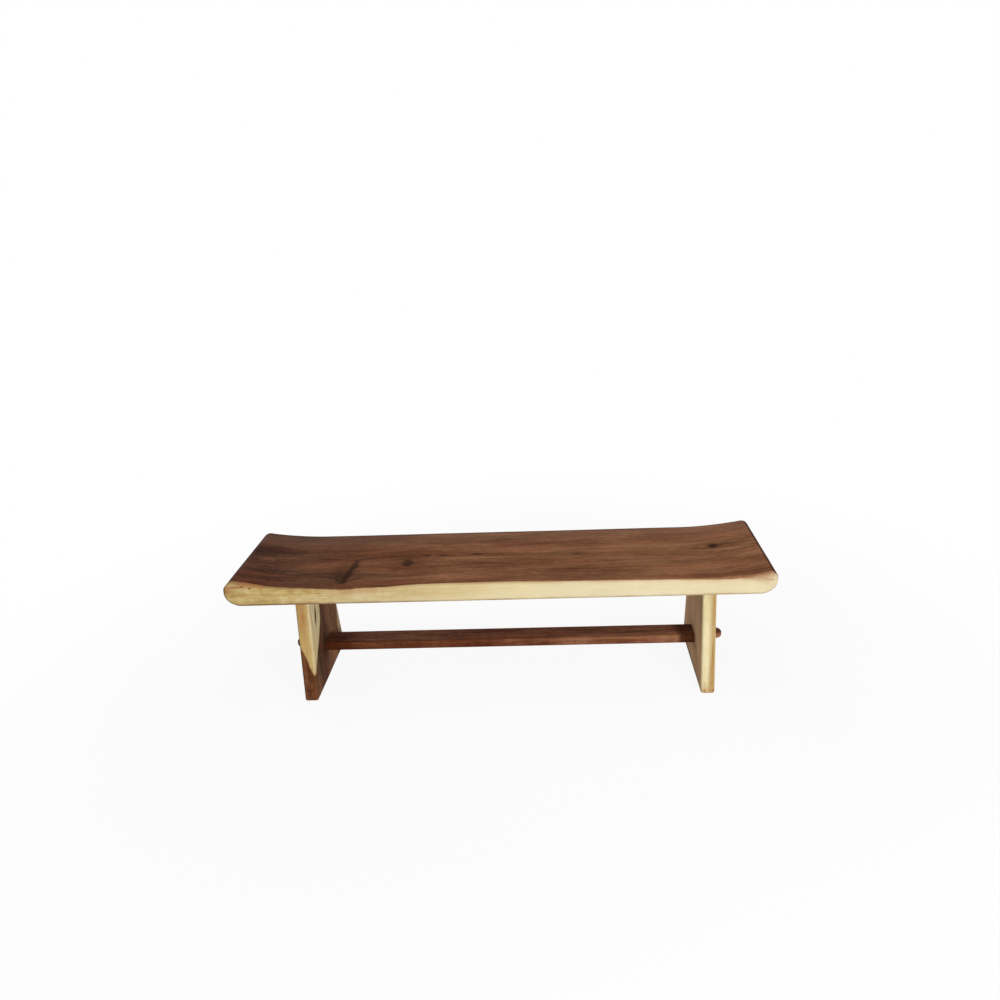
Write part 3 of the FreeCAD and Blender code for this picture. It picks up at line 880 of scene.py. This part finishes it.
def seat_wood():
    """Dark heartwood with knots, pale sapwood along the front, darker ends and back edge, and painted shade
    underneath.
    """
    material, (x, y, z) = new_finish("seat_wood")
    ragged = (x.noise(x * 50, y * 50, z * 50, 3) - 0.5) * 0.014
    frayed = (x.noise(x * 14, y * 190, z * 190, 2) - 0.5) * 0.05
    dark, shift, push = knots_and_flecks(x, y, z, ragged, frayed)
    dark = dark + spike(x, y, z, ragged)
    tone, red, fibre, pore = figure(x, y - push, z, SEAT_PITH, SEAT_RING, seed=1.7)
    # The sapwood's edge follows its depth along the top and leans back below it.
    depth = sap_depth(x)
    waver = (x.noise(x * 9, y * 3, z * 8, 4, 0.6) - 0.5) * 0.0045 + (tone - 0.5) * 0.004
    into_sap = depth + waver - (y + SEAT_WIDTH / 2) + (SEAT_TOP - z) * 0.35
    feather = 0.0025 + x.fade(0.79, 0.88) * 0.013
    sap = (into_sap / feather).fade(-0.6, 1.0)
    # The heart is lighter beside the sapwood at the right and greyer towards the back.
    heart_tone = 0.5 + (tone - 0.5) * (1 + x.fade(-0.2, -0.7) * 0.15) + shift
    heart_tone = heart_tone + into_sap.fade(-0.016, 0.0) * x.fade(-0.3, 0.5) * 0.14
    heart = heart_wood(heart_tone, red, pore, HEART_STOPS)
    heart = (y.fade(0.06, 0.20) * 0.16).mix(heart, HEART_GREY)
    heart = (x.math("MINIMUM", dark, 1) * 0.88).mix(heart, KNOT_BROWN)
    golden = (x - (z - 0.42) * 5 + x.noise(x * 4, y * 9, z * 30, 2) * 0.5).fade(0.50, -0.62)
    sap_colour = sapwood(x, y, z, tone, golden, into_sap, depth)
    colour = sap.mix(heart, front_marks(x, z, sap_colour, ragged, frayed))
    # The ends and the back edge are darker, and painted shade darkens the underside.
    facing = x.node("ShaderNodeNewGeometry", output="Normal")
    sides = [facing.node("ShaderNodeSeparateXYZ", None, {"Vector": facing}, i) for i in range(3)]
    facing_end, facing_back, facing_up = x.math("ABSOLUTE", sides[0]), sides[1], sides[2]
    dark_end = facing_end.fade(0.14, 0.50) * (1 - sap) * (0.85 - facing_end.fade(0.86, 0.98) * 0.40)
    colour = dark_end.mix(colour, KNOT_BROWN)
    colour = (facing_end.fade(0.60, 0.98) * sap * 0.55).mix(colour, END_TAN)
    # Painted shade darkens the faces that look down.
    colour = (facing_up.fade(0.02, -0.50) * (0.30 + golden * sap * 0.55)).mix(colour, UNDER_SHADE_BROWN)
    colour = (y.fade(0.200, 0.216) * facing_up.fade(0.1, 0.5) * 0.60).mix(colour, KNOT_BROWN)
    back_arris = facing_back.fade(0.05, 0.30) * facing_back.fade(0.80, 0.45) * facing_up.fade(0.02, 0.30)
    colour = (back_arris * 0.60).mix(colour, KNOT_BROWN)
    return wood_surface(material, colour, tone, fibre, pore, SEAT_ROUGHNESS)


finish_piece(seat, seat_wood(), "seat_slab")

# Floor and light
# A plain white floor runs out of sight and keeps the bench's soft shadow, in a white room with four lamps.
# The lamp on the right is the stronger of the two in front; one hangs over the seat and one stands behind.
FLOOR_SIZE = 40
FLOOR_GREY = screen(232, 232, 231)
WHITE = (1, 1, 1, 1)
SHADOW_SHARE = 0.08
SHADOW_REACH = (0.9, 2.4)
ROOM_LIGHT = 0.22
SEEN_RAYS = ("Is Camera Ray", "Is Glossy Ray", "Is Transmission Ray")
LAMP_TARGET = Vector((0, 0, 0.35))
LAMPS = (
    ("lamp_right", (2.0, -3.2, 1.4), 0.5, 80),
    ("lamp_front", (-0.8, -3.2, 1.2), 2.0, 6),
    ("lamp_above", (0.0, -0.4, 2.9), 2.4, 26),
    ("lamp_behind", (-2.2, 2.8, 1.7), 2.0, 36),
)


def seen(base):
    """1 where the camera looks at a surface, straight or by a mirror or glass, and 0 where light meets it."""
    straight, mirrored, through = [base.node("ShaderNodeLightPath", output=ray) for ray in SEEN_RAYS]
    return base.math("MAXIMUM", base.math("MAXIMUM", straight, mirrored), through)


bpy.ops.object.select_all(action="DESELECT")
bpy.ops.mesh.primitive_plane_add(size=FLOOR_SIZE, location=(0, 0, 0))
floor = bpy.context.object
floor.name = "floor"
floor_finish, (x, y, z) = new_finish("floor_white")
away = x.math("SQRT", x * x + y * y).fade(*SHADOW_REACH)
matt = x.node("ShaderNodeBsdfDiffuse", None, {"Color": FLOOR_GREY})
white = x.node("ShaderNodeEmission", None, {"Color": WHITE, "Strength": 1.0})
whiteness = seen(x) * (1 - SHADOW_SHARE + away * SHADOW_SHARE)
floor_look = x.node("ShaderNodeMixShader", None, {0: whiteness, 1: matt, 2: white})
floor_look.node("ShaderNodeOutputMaterial", None, {"Surface": floor_look})
floor.data.materials.append(floor_finish)

room = bpy.data.worlds.new("white_room")
room.use_nodes = True
room.node_tree.nodes.clear()
base = Shade(room.node_tree)
strength = ROOM_LIGHT + seen(base) * (1 - ROOM_LIGHT)
sky = base.node("ShaderNodeBackground", None, {"Color": WHITE, "Strength": strength})
sky.node("ShaderNodeOutputWorld", None, {"Surface": sky})
bpy.context.scene.world = room

for name, place, size, power in LAMPS:
    bpy.ops.object.light_add(type="AREA", location=place)
    lamp = bpy.context.object
    lamp.name = name
    lamp.data.shape = "DISK"
    lamp.data.size = size
    lamp.data.energy = power
    lamp.rotation_euler = (LAMP_TARGET - Vector(place)).to_track_quat("-Z", "Y").to_euler()

# Camera
# It stands in front of the bench, a little right of its middle, and looks down on the seat.
# Its lens is a wide one, slightly rolled and shifted.
CAMERA_PLACE = (0.18937, -2.57792, 1.61495)
CAMERA_YAW = -2.39521
CAMERA_PITCH = 22.89752
CAMERA_ROLL = 2.46539
LENS = 29.3697
LENS_SHIFT = (-0.023, 0.035)
SENSOR_WIDTH = 36
bpy.ops.object.camera_add(location=CAMERA_PLACE)
camera = bpy.context.object
turn = Matrix.Rotation(math.radians(-CAMERA_YAW), 4, "Z")
turn = turn @ Matrix.Rotation(math.radians(90 - CAMERA_PITCH), 4, "X")
turn = turn @ Matrix.Rotation(math.radians(-CAMERA_ROLL), 4, "Z")
camera.matrix_world = Matrix.Translation(CAMERA_PLACE) @ turn
camera.data.sensor_width = SENSOR_WIDTH
camera.data.lens = LENS
camera.data.shift_x, camera.data.shift_y = LENS_SHIFT
bpy.context.scene.camera = camera
bpy.context.scene.view_settings.view_transform = "Standard"
